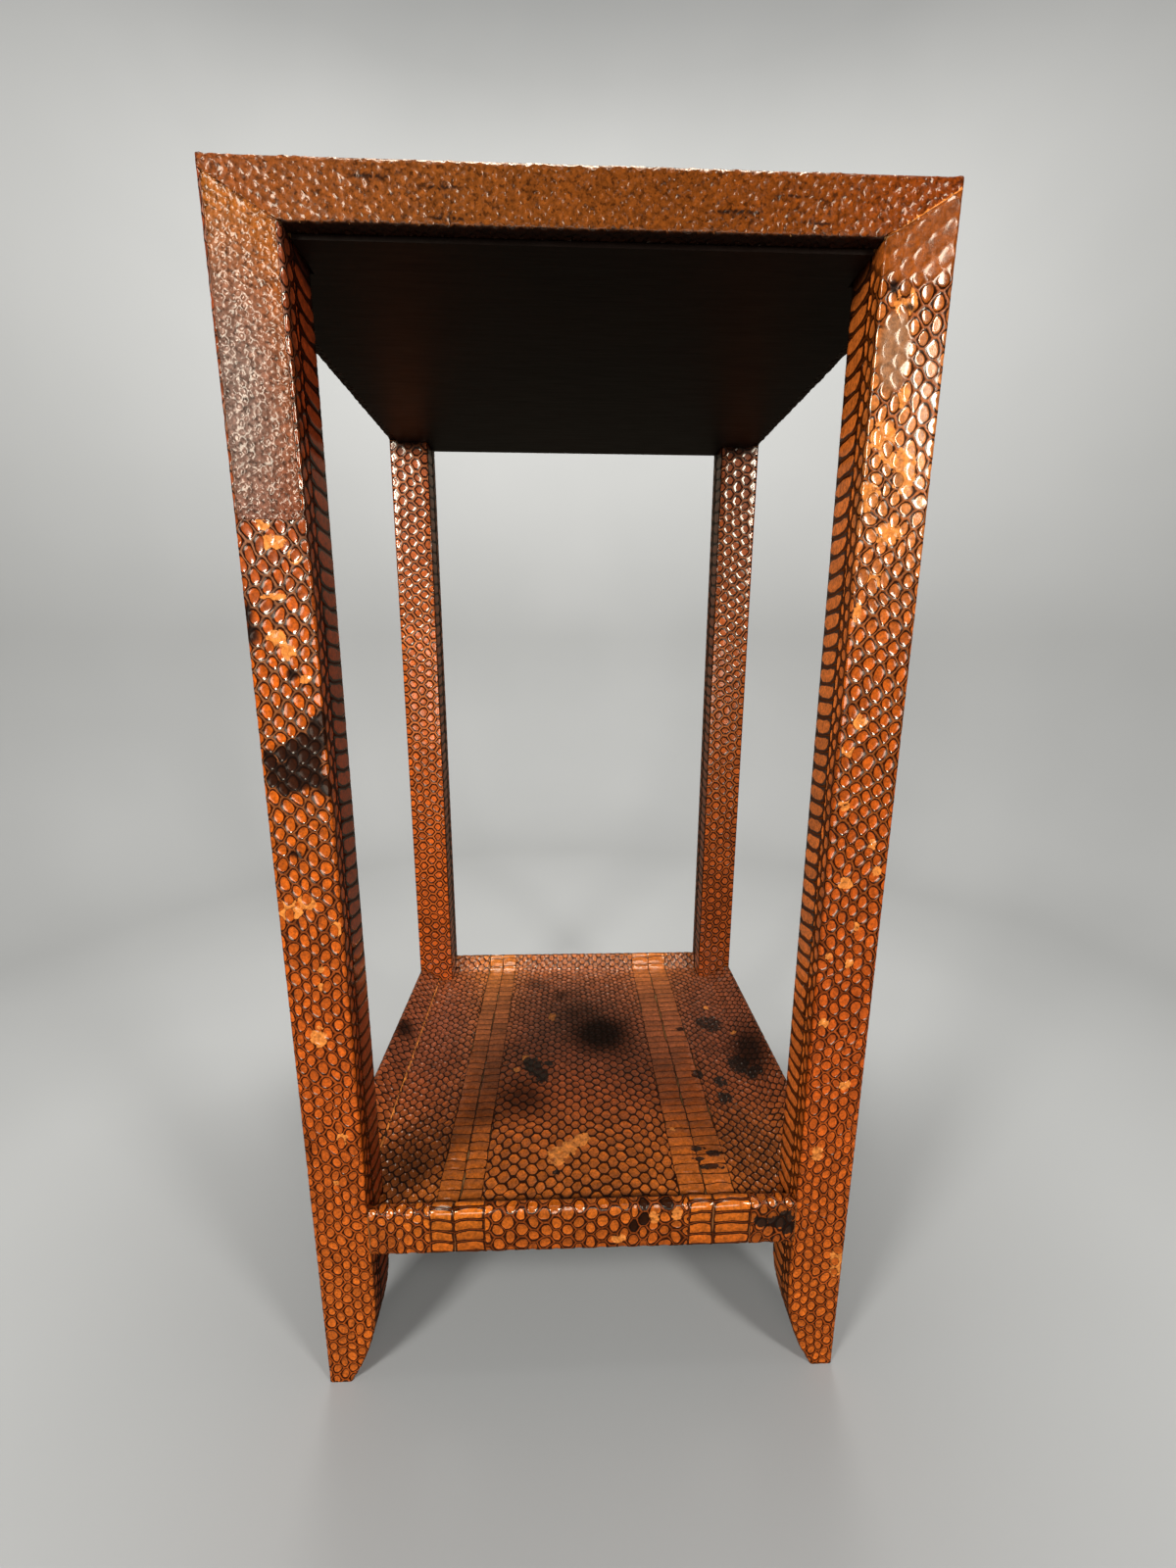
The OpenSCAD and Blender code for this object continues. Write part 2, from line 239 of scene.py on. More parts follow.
def plates(name, across, along, depth, groove=0.0004, corner=0.8):
    """One row of wide belly plates, low cushions with a groove round each."""
    steps = 4
    x, y = across / 2, along / 2
    run = [x - across * i / steps for i in range(steps)]
    border = np.array([(p, y) for p in run] + [(-x, y), (-x, 0)]
                      + [(-p, -y) for p in run] + [(x, -y), (x, 0)])
    at_corner = (np.abs(border) > np.array([x, y]) * 0.99).all(1)[:, None]

    def inside(gap):
        return border * (1 - gap * (1 + corner * at_corner) / np.array([x, y]))
    rings = [(inside(0.45 * y), 0, 0.2), (inside(2.5 * groove), -0.15 * depth, 0.5),
             (inside(groove), -0.7 * depth, 0.8), (border, -depth, 1)]
    return Hide(mould(name, rings, 0), across, along, stagger=0.0, turn=0.0, shrink=0.0,
                drift=0.0030, jitter=0.0030, crinkle=0.0002, grain=0.0070)


def sheet_recipe():
    """Geometry Nodes for a flat skin: rows of scales, each a bit turned and smaller by chance,
    welded into one net, which then drifts and creases as a living skin's rows do."""
    weld, drift_size = 2e-5, 0.028
    tree = bpy.data.node_groups.new("skin sheet", "GeometryNodeTree")
    sizes = ("Across", "Along", "Stagger", "Turn", "Shrink", "Drift", "Jitter", "Crinkle", "Grain")
    kinds = {"Geometry": "Geometry", "Scale": "Object", "Columns": "Int", "Rows": "Int",
             **dict.fromkeys(sizes, "Float"), "Seed": "Int", "Skin": "Material"}
    for name, kind in kinds.items():
        tree.interface.new_socket(name=name, in_out="INPUT", socket_type="NodeSocket" + kind)
    tree.interface.new_socket(name="Geometry", in_out="OUTPUT", socket_type="NodeSocketGeometry")
    r = Recipe(tree)
    given = {name: r.add("NodeGroupInput", out=name) for name in kinds}
    index = r.add("GeometryNodeInputIndex")
    column = (index / given["Rows"] + 1e-4).math("FLOOR")
    row = index - column * given["Rows"] + given["Stagger"] * (column % 2.0)
    spot = r.add("ShaderNodeCombineXYZ", {}, {"X": column * given["Across"], "Y": row * given["Along"]})
    spots = r.add("GeometryNodePoints", {}, {"Count": given["Columns"] * given["Rows"], "Position": spot})
    scale = r.add("GeometryNodeObjectInfo", {}, {"Object": given["Scale"]}, out="Geometry")
    sheet = r.add("GeometryNodeInstanceOnPoints", {}, {"Points": spots, "Instance": scale})
    chance = r.add("FunctionNodeRandomValue", {"data_type": "FLOAT"},
                   {"ID": index, "Seed": given["Seed"]}, out=1)
    for name, kind, value in (("middle", "FLOAT_VECTOR", r.add("GeometryNodeInputPosition")),
                              ("chance", "FLOAT", chance)):
        sheet = r.add("GeometryNodeStoreNamedAttribute", {"data_type": kind, "domain": "INSTANCE"},
                      {"Geometry": sheet, "Name": name, "Value": value})
    sheet = r.add("GeometryNodeRealizeInstances", {}, {"Geometry": sheet})
    sheet = r.add("GeometryNodeMergeByDistance", {}, {"Geometry": sheet, "Distance": weld})

    def stored(name, kind):
        return r.add("GeometryNodeInputNamedAttribute", {"data_type": kind}, {"Name": name})

    def chances(*odd):
        """Further numbers from 0 to 1 for each scale, made from its one chance."""
        return [chance * number % 1.0 for number in odd]
    middle, chance = stored("middle", "FLOAT_VECTOR"), stored("chance", "FLOAT")
    position = r.add("GeometryNodeInputPosition")
    turned = r.add("ShaderNodeVectorRotate", {"rotation_type": "Z_AXIS"}, {
        "Vector": position, "Center": middle, "Angle": (chance - 0.5) * 2.0 * given["Turn"]})
    size = [1.0 - share * given["Shrink"] for share in chances(7.31, 17.93)]
    size = r.add("ShaderNodeCombineXYZ", {}, {"X": size[0], "Y": size[1], "Z": 1.0})
    off = r.vector("MULTIPLY", r.vector("SUBTRACT", turned, middle), size)
    aside = [(share - 0.5) * given["Across"] * given["Shrink"] * 0.6 for share in chances(13.71, 29.37)]
    aside = r.add("ShaderNodeCombineXYZ", {}, {"X": aside[0], "Y": aside[1]})
    moved = r.vector("ADD", r.vector("ADD", middle, off), aside)
    sheet = r.add("GeometryNodeSetPosition", {}, {
        "Geometry": sheet, "Selection": stored("rim", "FLOAT") < 0.95, "Position": moved})
    for size, amount, lift in ((drift_size, given["Drift"], 0.0),
                               (given["Grain"], given["Jitter"], given["Crinkle"])):
        cloud = r.add("ShaderNodeTexNoise", {"noise_dimensions": "4D"}, {
            "Vector": position, "W": given["Seed"] * 3.7, "Scale": 1.0 / size, "Detail": 1.0},
            out="Color")
        reach = r.add("ShaderNodeCombineXYZ", {}, {"X": amount, "Y": amount, "Z": lift})
        sway = r.vector("MULTIPLY", r.vector("SUBTRACT", cloud, (0.5, 0.5, 0.5)), reach)
        sheet = r.add("GeometryNodeSetPosition", {}, {"Geometry": sheet, "Offset": sway})
    sheet = r.add("GeometryNodeSetMaterial", {}, {"Geometry": sheet, "Material": given["Skin"]})
    r.add("NodeGroupOutput", {}, {"Geometry": sheet})
    return tree


skin_sheet = sheet_recipe()


def numbers(items, name, width=1, kind=np.float32):
    found = np.empty(len(items) * width, kind)
    items.foreach_get(name, found)
    return found.reshape(-1, width) if width > 1 else found


class Sheet:
    """A skin lying flat on the bench. u and v run along and across it, h is the height over
    the net's top, rim how near a point is to the net, and mu, mv the middle of its scale."""

    fields = ("u", "v", "h", "rim", "mu", "mv", "chance")

    def __init__(self, hide, skin, u_ends, v_ends, seed, slant=0.0, bow=0.0, warp=None):
        spare = 0.25 if warp else 0.0
        aside = spare * (u_ends[1] - u_ends[0])
        lean = abs(slant * hide.across) + abs(bow)
        low = np.array([u_ends[0] - aside, v_ends[0] - lean])
        high = np.array([u_ends[1] + aside, v_ends[1] * (1 + spare) + lean])
        if hide.stagger:
            start = low - np.array([hide.across, hide.along]) * 0.8
            columns = math.ceil((high[0] - start[0]) / hide.across) + 1
        else:
            start, columns = np.array([(u_ends[0] + u_ends[1]) / 2, low[1] - hide.along * 1.5]), 1
        rows = math.ceil((high[1] - start[1]) / hide.along) + 1
        bench = put("bench", bpy.data.meshes.new("bench"))
        layer = bench.modifiers.new("skin", "NODES")
        layer.node_group = skin_sheet
        ids = {i.name: i.identifier for i in skin_sheet.interface.items_tree if i.in_out == "INPUT"}
        given = {name.title(): value for name, value in hide._asdict().items()}
        given.update({"Columns": columns, "Rows": rows, "Seed": seed, "Skin": skin})
        for name, value in given.items():
            layer[ids[name]] = value
        graph = bpy.context.evaluated_depsgraph_get()
        flat = bpy.data.meshes.new_from_object(bench.evaluated_get(graph), depsgraph=graph,
                                               preserve_all_data_layers=True)
        bpy.data.objects.remove(bench)
        spots = numbers(flat.vertices, "co", 3)
        middle = numbers(flat.attributes["middle"].data, "vector", 3)
        self.u, self.v = (spots[:, :2] + start).T
        self.h = np.maximum(spots[:, 2] - 0.25 * hide.crinkle, -0.8 * skin_depth)
        self.mu, self.mv = (middle[:, :2] + start).T
        self.rim = numbers(flat.attributes["rim"].data, "value")
        self.chance = numbers(flat.attributes["chance"].data, "value")
        corner = numbers(flat.loops, "vertex_index", kind=np.int32)
        first = numbers(flat.polygons, "loop_start", kind=np.int32)
        count = numbers(flat.polygons, "loop_total", kind=np.int32)
        self.tri = corner[first[count == 3][:, None] + np.arange(3)]
        self.quad = corner[first[count == 4][:, None] + np.arange(4)]
        bpy.data.meshes.remove(flat)
        if not hide.stagger:
            share = (self.u - u_ends[0]) / hide.across
            self.v = self.v + slant * hide.across * share + bow * 4 * share * (1 - share)
            self.mv = self.mv + slant * hide.across / 2 + bow
        if warp:
            (self.u, self.v), (self.mu, self.mv) = warp(self.u, self.v), warp(self.mu, self.mv)
        self.trim(lambda u, v: (np.clip(u, *u_ends), np.clip(v, *v_ends)))

    def trim(self, limit):
        """Cuts the sheet to an outline: limit gives where a point outside it is drawn in to."""
        u, v = limit(self.u, self.v)
        outside = (np.abs(u - self.u) > 1e-7) | (np.abs(v - self.v) > 1e-7)
        self.u, self.v = u, v
        self.h, self.rim = np.where(outside, 0, self.h), np.where(outside, 1, self.rim)
        self.tri = self.tri[~outside[self.tri].all(1)]
        self.quad = self.quad[~outside[self.quad].all(1)]
        used = np.zeros(len(u), bool)
        used[self.tri], used[self.quad] = True, True
        place = np.cumsum(used) - 1
        self.tri, self.quad = place[self.tri], place[self.quad]
        for name in self.fields:
            setattr(self, name, getattr(self, name)[used])

    def turn_down(self):
        """Adds the cut edge of the skin, from the net's top down to the wood."""
        sides = np.concatenate([np.stack([f[:, k], f[:, (k + 1) % f.shape[1]]], 1)
                                for f in (self.tri, self.quad) for k in range(f.shape[1])])
        n = len(self.u)
        ahead, back = sides[:, 0] * n + sides[:, 1], sides[:, 1] * n + sides[:, 0]
        edge = sides[~np.isin(ahead, back)]
        low, place = np.unique(edge, return_inverse=True)
        place = place.reshape(edge.shape) + n
        self.quad = np.concatenate([self.quad, np.stack([edge[:, 1], edge[:, 0],
                                                         place[:, 0], place[:, 1]], 1)])
        foot = {"h": np.full(len(low), -skin_depth)}
        for name in self.fields:
            values = getattr(self, name)
            setattr(self, name, np.concatenate([values, foot.get(name, values[low])]))

    def join(self, other):
        n = len(self.u)
        self.tri = np.concatenate([self.tri, other.tri + n])
        self.quad = np.concatenate([self.quad, other.quad + n])
        for name in self.fields:
            setattr(self, name, np.concatenate([getattr(self, name), getattr(other, name)]))


def laid_skin(name, zones, skin, place, colours, node, flip=False):
    """Joins flat zones into one skin, colours it, folds it into place, hangs it under the root
    body and hides the CAD part it replaces.
    place turns u, v, h into a point; colours gives the dye, the net's colour and the marks."""
    for zone in zones:
        zone.turn_down()
    sheet = zones[0]
    for zone in zones[1:]:
        sheet.join(zone)
    marks = {"pale": 0, "soot": 0, "black": 0, "plain": 0, "worn": 0, "lowest": -1, **colours(sheet)}
    marks["rim"] = sheet.rim
    dented = np.minimum(sheet.h, 0) * (1 - 0.85 * marks.pop("worn"))
    top = sheet.h > -0.9 * skin_depth
    points = place(sheet.u, sheet.v, np.where(top, np.maximum(dented, marks.pop("lowest")), sheet.h))
    faces = sheet.tri.tolist() + sheet.quad.tolist()
    mesh = bpy.data.meshes.new(name)
    mesh.from_pydata(points.tolist(), [], [f[::-1] for f in faces] if flip else faces)
    mesh.polygons.foreach_set("use_smooth", [True] * len(sheet.tri) + top[sheet.quad].all(1).tolist())
    for mark, values in marks.items():
        if np.ndim(values) == 2:
            values = np.column_stack([values, np.ones(len(values))])
            layer = mesh.attributes.new(mark, "FLOAT_COLOR", "POINT")
            layer.data.foreach_set("color", values.ravel().astype(np.float32))
        else:
            layer = mesh.attributes.new(mark, "FLOAT", "POINT")
            layer.data.foreach_set("value", np.full(len(sheet.u), values, np.float32))
    mesh.materials.append(skin)
    piece = put(name, mesh)
    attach(piece, "root")
    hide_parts(node)


def lacquered_skin(name, crease, crinkle, gloss, shine, mottle):
    """Dyed and lacquered snakeskin: orange scales with a dark edge in a lighter net, pale
    where the dye has gone and along one seam where a highlight is painted, and near black
    where it was burnt, where it bears stains and where shade and shadows are painted."""
    material, r, place = new_finish(name)

    def mark(name, out="Fac"):
        return r.add("ShaderNodeAttribute", {"attribute_name": name}, out=out)

    def times(colour, other):
        return r.mix(1.0, colour, other, "MULTIPLY")
    rim, shown = mark("rim"), 1.0 - mark("plain")
    grain = r.noise(place, 0.0016, 3.0, 0.65)
    blotch = r.noise(place, 0.0042, 2.0)
    cloud = r.noise(place, 0.03, 2.0)
    speck = r.noise(place, 0.0019, 2.0, 0.7)
    lively = 0.54 + 0.56 * r.fade(grain, 0.32, 0.68) + 0.34 * r.fade(blotch, 0.32, 0.68)
    grey = r.add("ShaderNodeCombineColor", {}, {"Red": lively, "Green": lively, "Blue": lively})
    dye = times(mark("dye", "Color"), grey)
    dark = times(dye, (0.05, 0.037, 0.034, 1))
    dye = r.mix(r.fade(speck, 0.5, 0.68) * mottle, dye, dark)
    ring = r.fade(rim, 0.5, 0.64) * shown
    colour = r.mix(ring * (0.88 + 0.24 * blotch), dye, dark)
    bare = times(mark("web", "Color"), grey)
    bare = r.mix(r.fade(0.6 * cloud + 0.5 * blotch, 0.48, 0.62) * 0.4, bare, dark)
    colour = r.mix(r.fade(rim, 0.88, 0.96) * shown, colour, bare)
    ragged = 1.0 + 3.0 * (blotch - 0.5) + 1.2 * (grain - 0.5)
    faded = r.fade(mark("pale") * ragged, 0.42, 0.56)
    colour = r.mix(faded * 0.9, colour, times(tint(238, 150, 74), grey))
    colour = r.mix(r.fade(mark("black") * ragged, 0.42, 0.56) * 0.96, colour, tint(25, 16, 15))
    # soot carries real stains and burnt scales, and painted shade and painted shadows too; all mix to one
    # near black
    stain_and_shade = r.fade(mark("soot") * (0.9 + 0.3 * blotch), 0.05, 0.95)
    colour = r.mix(stain_and_shade * 0.96, colour, tint(22, 13, 12))
    creases = r.add("ShaderNodeBump", {}, {
        "Height": 0.5 * grain + 0.6 * blotch + crinkle * (1.0 - shown) * speck,
        "Strength": crease, "Distance": 0.0006})
    in_pits = 1.0 - 0.96 * r.fade(rim, 0.72, 0.95) * shown
    lacquer = shine * in_pits * (1.0 - 0.85 * stain_and_shade) * (0.4 + 0.6 * shown)
    shader = r.add("ShaderNodeBsdfPrincipled", {}, {
        "Base Color": colour, "Roughness": gloss + 0.2 * (grain - 0.5) + 0.1 * (cloud - 0.5),
        "Normal": creases, "Specular IOR Level": 0.1, "Coat Weight": lacquer,
        "Coat Roughness": 0.13, "Coat IOR": 1.8})
    r.add("ShaderNodeOutputMaterial", {}, {"Surface": shader})
    return material


coarse_skin = lacquered_skin("lacquered python skin", 0.3, 3.2, 0.35, 1.0, 0.0)
fine_skin = lacquered_skin("lacquered fine skin", 0.5, 1.2, 0.35, 0.54, 0.7)

leg_hide = scales("leg scale", 0.0051, 0.0085, 0.0004, fill=1.07, shrink=0.16)
back_hide = scales("back leg scale", 0.0069, 0.0094, 0.00018, fill=1.15, power=1.15,
                   bowl=((0.62, 1.0), (0.85, 0.9)), shrink=0.12, turn=0.1, jitter=0.0020)
plate_start, half_round = 0.042, 2 * leg_side
leg_plates = plates("leg plate", half_round - plate_start, 0.0087, 0.0004, groove=0.0006)


def stops(along, table):
    """Colours read off a short table of places and screen colours."""
    at = [row[0] for row in table]
    return np.stack([np.interp(along, at, [tint(*row[1:])[k] for row in table]) for k in range(3)], 1)


def patches(u, v, spots, soft=1.0):
    """How strongly a point lies in one of the spots, each u, v and half sizes in mm and, where
    it is faint, its strength."""
    most = np.zeros(len(u))
    for x, y, wide, tall, *weight in spots:
        far = np.hypot((u * 1000 - x) / wide, (v * 1000 - y) / tall)
        most = np.maximum(most, np.clip((1 - far) / soft + 0.5, 0, 1) * (weight or [1])[0])
    return most


def on_leg(right, back):
    """Wraps the flat sheet round a leg: u is 0 on the outer front arris and runs to the
    inner back arris both ways, v is the height."""
    def place(u, v, h):
        bend = foot_radius ** 2 - np.clip(foot_height - v, 0, None) ** 2
        side = leg_side - foot_radius + np.sqrt(bend)
        u = np.clip(u, -2 * side, 2 * side)
        x = np.where(u >= 0, np.minimum(u, side), np.maximum(-u - side, 0))
        y = np.where(u >= 0, np.maximum(u - side, 0), np.minimum(-u, side))
        qx, qy = np.clip(x, arris, side - arris), np.clip(y, arris, side - arris)
        out = np.hypot(x - qx, y - qy)
        reach = (arris + h) / np.maximum(out, 1e-9)
        x, y = qx + (x - qx) * reach - half_wide, qy + (y - qy) * reach - half_deep
        return np.stack([-x if right else x, -y if back else y, v], 1)
    return place


def mitre_at(inward):
    """Height of the mitre line between leg and slab, inward from the table's corner."""
    return under_slab + mitre_rise * (1 - inward / leg_side)


def leg_top(u, v):
    return u, np.minimum(v, mitre_at(np.minimum(np.abs(u), leg_side)) - hair)


patch_edges, patch_seam = (arris, leg_side - arris), 0.484


def round_the_patch(u, v):
    """Cuts the skin out where the smooth patch lies, to the nearest side of the patch."""
    low, high = patch_edges[0] - hair, patch_edges[1] + hair
    inside = (u > low) & (u < high) & (v > patch_seam)
    left, right, below = u - low, high - u, v - patch_seam
    near = np.minimum(np.minimum(left, right), below)
    u2 = np.where(left == near, low, np.where(right == near, high, u))
    v2 = np.where((below == near) & (left > near) & (right > near), patch_seam, v)
    return np.where(inside, u2, u), np.where(inside, v2, v)


def leg_colours(scale_stops, web_stops, inner, black=(), pale=(), soot=(), plain=(), grey=(), flat=()):
    """The marks on a leg. inner is the dye of the plates on the inner face; black scales, pale
    spots, spots of soot and painted shade, plain and grey skin and flat scales are listed by
    place and half size."""
    plate_dye = np.array(tint(*inner)[:3])

    def colours(sheet):
        smooth = patches(sheet.u, sheet.v, plain, 0.25)
        vary = 1 + 0.4 * ((sheet.chance - 0.5) * (1 - smooth))[:, None]
        inside = np.clip((sheet.mu - leg_side) / 0.008, 0, 1)[:, None]
        dye = (stops(sheet.mv, scale_stops) * (1 - inside) + plate_dye * inside) * vary
        dark = np.clip((sheet.mu - leg_side) / 0.003, 0, 1)[:, None]
        web = stops(sheet.v, web_stops) * (1 - dark) + 0.16 * plate_dye * dark
        washed = patches(sheet.u, sheet.v, grey, 0.3)[:, None]
        dye = dye * (1 - washed) + np.array(tint(158, 112, 80)[:3]) * washed
        burnt = (patches(sheet.mu, sheet.mv, black, 0.01) > 0.5) & (sheet.rim < 0.9)
        burnt = np.maximum(burnt, 0.8 * patches(sheet.u, sheet.v, black, 0.4))
        shallow = patches(sheet.u, sheet.v, flat, 0.3)
        kept = np.where((sheet.rim > 0.7) | (sheet.chance > 0.4), 1.0, 0.2)
        from_arris = np.abs(np.abs(sheet.u) - leg_side * np.round(np.abs(sheet.u) / leg_side))
        return {"dye": dye, "web": web, "pale": patches(sheet.u, sheet.v, pale) * kept, "plain": smooth,
                "soot": np.maximum(patches(sheet.u, sheet.v, soot, 1.3), burnt),
                "worn": np.maximum(np.clip(1.9 - from_arris / 0.001, 0, 1), smooth),
                "lowest": -0.0004 + 0.00024 * shallow}
    return colours


# The front legs' inner plates differ only by light: the left leg's darker plate dye is painted shade, the
# right leg's brighter one painted light
front_left_colours = leg_colours(
    # On both front legs the dye lightens towards the foot, a painted light that makes up for the lamps'
    # weaker light low down
    [(0, 218, 112, 36), (0.06, 218, 112, 34), (0.2, 204, 96, 24), (0.34, 206, 100, 20),
     (0.43, 200, 94, 18), (0.484, 160, 76, 32), (0.6, 150, 74, 44)],
    # The net's bluer, mauve tone towards the top is a painted reflection
    [(0, 200, 100, 40), (0.15, 196, 98, 40), (0.25, 158, 76, 32), (0.36, 156, 92, 50),
     (0.42, 150, 98, 64), (0.6, 150, 100, 84)], (152, 62, 26),
    black=[(19, 382, 11, 5.5), (16, 374, 14, 4), (26, 387, 6, 5), (14, 367, 9, 4), (24, 369, 7, 4),
           (28, 396, 4, 4), (18.5, 418, 3, 3), (4, 381, 3, 3), (28, 364, 3, 3), (12, 332, 3, 2)],
    pale=[(6, 303, 6, 5), (15, 307, 4, 4), (28, 293, 3, 3.5), (18, 271, 2, 2), (18, 261, 2, 2),
          (14, 232, 4, 6), (21, 170, 3, 3.5), (16, 142, 2, 2), (12, 483, 3, 3), (15, 475, 6, 3),
          (24.5, 469, 3, 3), (14, 452, 6, 1.5), (13, 434, 4, 4), (18, 428, 3, 4), (24, 416, 3, 2)],
    # The spot at (60, 598), on both front legs, darkens the top of the inner face under the slab: partly
    # black paint run over from the board, partly painted shade
    soot=[(1, 445, 3, 5), (2, 436, 4, 5), (1, 166, 7, 12, 0.5), (60, 598, 26, 15)])
front_right_colours = leg_colours(
    [(0, 216, 110, 34), (0.06, 216, 110, 32), (0.2, 198, 90, 22), (0.34, 196, 90, 20),
     (0.43, 192, 92, 20), (0.5, 214, 134, 70), (0.56, 206, 122, 60), (0.577, 160, 84, 26),
     (0.6, 140, 72, 20)],
    [(0, 196, 98, 40), (0.15, 194, 96, 40), (0.25, 160, 78, 34), (0.36, 154, 86, 38),
     (0.45, 156, 90, 46), (0.5, 190, 108, 52), (0.56, 180, 98, 46), (0.6, 160, 84, 36)], (250, 136, 56),
    pale=[(19.5, 571.5, 4.5, 6), (21.5, 396, 3, 4), (26, 382.5, 3, 3.5), (25.5, 355.5, 3, 3),
          (9.5, 334.5, 2, 3), (5.5, 320.5, 2, 3), (21, 314.5, 4, 3), (14.5, 290.5, 3, 3), (26, 274, 2, 2),
          (15, 270, 2, 3), (25.5, 235, 3, 3), (10.5, 197, 3, 3), (22, 153, 3, 5), (4, 78, 4, 11),
          (17.5, 481, 6, 5), (20.5, 462, 5, 3.5), (28, 446, 2, 5), (13, 507, 5, 9), (24, 520, 5, 7),
          (27, 496, 4, 7), (17, 536, 3, 4), (20, 512, 3, 4)],
    soot=[(25.5, 577.5, 2, 3), (17.5, 570, 2, 1.5), (60, 598, 26, 15)],
    plain=[(15.5, 600, 26, 21), (22.5, 553.5, 7, 15.5)], grey=[(22.5, 553.5, 7, 15.5)],
    flat=[(4, 524, 14, 44)])


def back_colours(strength):
    dyes = np.array([(0, 170, 76, 22), (0.2, 200, 94, 26), (0.4, 204, 100, 32), (0.6, 180, 92, 48)])
    webs = np.array([(0, 176, 86, 36), (0.2, 192, 98, 42), (0.4, 212, 124, 68), (0.6, 196, 122, 84)])
    dyes[:, 1:], webs[:, 1:] = dyes[:, 1:] * strength, webs[:, 1:] * strength
    return leg_colours(dyes, webs, (170, 84, 36),
                       # These three spots darken the leg's top under the slab: partly black paint run over
                       # from the board, partly painted shade
                       soot=[(46, 598, 20, 12), (-46, 598, 20, 12), (31, 600, 40, 9)])


leg_looks = {"front_left": front_left_colours, "front_right": front_right_colours,
             "back_left": back_colours(1.14), "back_right": back_colours(0.92)}
leg_ends = (hem, mitre_at(0) + hair)
for right in (False, True):
    for back in (False, True):
        corner = f"{'back' if back else 'front'}_{'right' if right else 'left'}"
        seed = 11 + 4 * right + 2 * back
        ovals = Sheet(back_hide if back else leg_hide, coarse_skin, (-half_round, plate_start),
                      leg_ends, seed)
        belly = Sheet(leg_plates, coarse_skin, (plate_start, half_round), leg_ends, seed + 1,
                      slant=-0.1, bow=-0.0010)
        for zone in (ovals, belly):
            zone.trim(leg_top)
            if corner == "front_left":
                zone.trim(round_the_patch)
        laid_skin(f"leg_scales_{corner}", [ovals, belly], coarse_skin, on_leg(right, back),
                  leg_looks[corner], f"leg_skin_{corner}", flip=right != back)

# The smooth patch on the front left leg.
# A separate piece of fine grained skin from the slab down to a straight seam, brown with a
# # painted lilac grey sheen on its left part and an orange corner, glued edge to edge with the
# # leg's own skin.

patch_hide = scales("patch grain", 0.0024, 0.0032, 0.00016, steps=1, turn=0.6, shrink=0.4,
                    drift=0.0040, jitter=0.0024, crinkle=0.0015, grain=0.0038)
patch = Sheet(patch_hide, fine_skin, patch_edges, (patch_seam + hair, leg_ends[1]), 31)
patch.trim(leg_top)
filled_in = 0.85  # how far the lacquer fills the grain of the fine skins


def patch_colours(sheet):
    # painted_sheen: a lilac grey sheen painted into the dye of the patch's left part
    painted_sheen = patches(sheet.u, sheet.v, [(5, 530, 17, 46)], 1.2)[:, None] * 0.9
    dye = stops(sheet.v, [(0.48, 138, 76, 50), (0.57, 160, 90, 42), (0.6, 172, 102, 42)])
    dye = dye * (1 - painted_sheen) + np.array(tint(132, 110, 106)[:3]) * painted_sheen
    return {"dye": dye * (0.85 + 0.3 * sheet.chance[:, None]), "web": dye * 0.8, "plain": filled_in}


laid_skin("leg_patch", [patch], fine_skin, on_leg(False, False), patch_colours, "leg_patch_front_left")

# The slab's edge skins.
# A band of finer skin on each side of the slab, turned under the rail and over the top
# edge, mitred at the corners and to the leg skins along slanting seams.

slab_high, slab_round = 0.618, 0.003
turn_in, low_round = 0.0065, 0.0015
wide, deep = 2 * half_wide, 2 * half_deep


def rounded_path(corners):
    """A path through depth and height with its corners rounded. Gives, for each point on it,
    its way along, its depth and height, and which way is out."""
    spots = []
    for k, (d, z, radius) in enumerate(corners):
        here = np.array([d, z])
        if not radius:
            spots.append(here)
            continue
        to_last = np.array(corners[k - 1][:2]) - here
        to_next = np.array(corners[k + 1][:2]) - here
        to_last, to_next = to_last / np.hypot(*to_last), to_next / np.hypot(*to_next)
        half = math.acos(np.clip(to_last @ to_next, -1, 1)) / 2
        middle = here + (to_last + to_next) / np.hypot(*(to_last + to_next)) * radius / math.sin(half)
        start, end = (here + way * radius / math.tan(half) - middle for way in (to_last, to_next))
        for share in np.linspace(0, 1, 9):
            way = start * (1 - share) + end * share
            spots.append(middle + way / np.hypot(*way) * radius)
    spots = np.array(spots)
    apart = np.hypot(*np.diff(spots, axis=0).T) > 1e-7
    spots = spots[np.concatenate([[True], apart])]
    step = np.diff(spots, axis=0)
    size = np.hypot(*step.T)
    out = np.stack([-step[:, 1], step[:, 0]], 1) / size[:, None]
    out = np.concatenate([out[:1], out[:-1] + out[1:], out[-1:]])
    return np.concatenate([[0], np.cumsum(size)]), spots, out / np.hypot(*out.T)[:, None]


def follow(path, v):
    """Depth, height and outward direction of the points v along a path."""
    way, spots, out = path
    d, z, n_d, n_z = (np.interp(v, way, row) for row in (*spots.T, *out.T))
    size = np.hypot(n_d, n_z)
    return d, z, n_d / size, n_z / size


def on_side(side, along, depth, up):
    """A point given along a side, from its face inwards and up, in the table's own frame.
    Going along a side, its face is on the right hand."""
    x = {"front": along, "back": wide - along, "left": depth, "right": wide - depth}[side]
    y = {"front": depth, "back": deep - depth, "left": deep - along, "right": along}[side]
    return np.stack([x - half_wide, y - half_deep, up], 1)


band_hide = scales("band grain", 0.0032, 0.0042, 0.00020, steps=1, turn=0.6, shrink=0.4, drift=0.0050,
                   jitter=0.0030, crinkle=0.0016, grain=0.0046)
band_path = rounded_path([(turn_in, under_slab, 0), (0, under_slab, low_round),
                          (0, slab_high, slab_round), (slab_round, slab_high, 0)])
turned_under = turn_in - low_round + math.pi / 2 * low_round


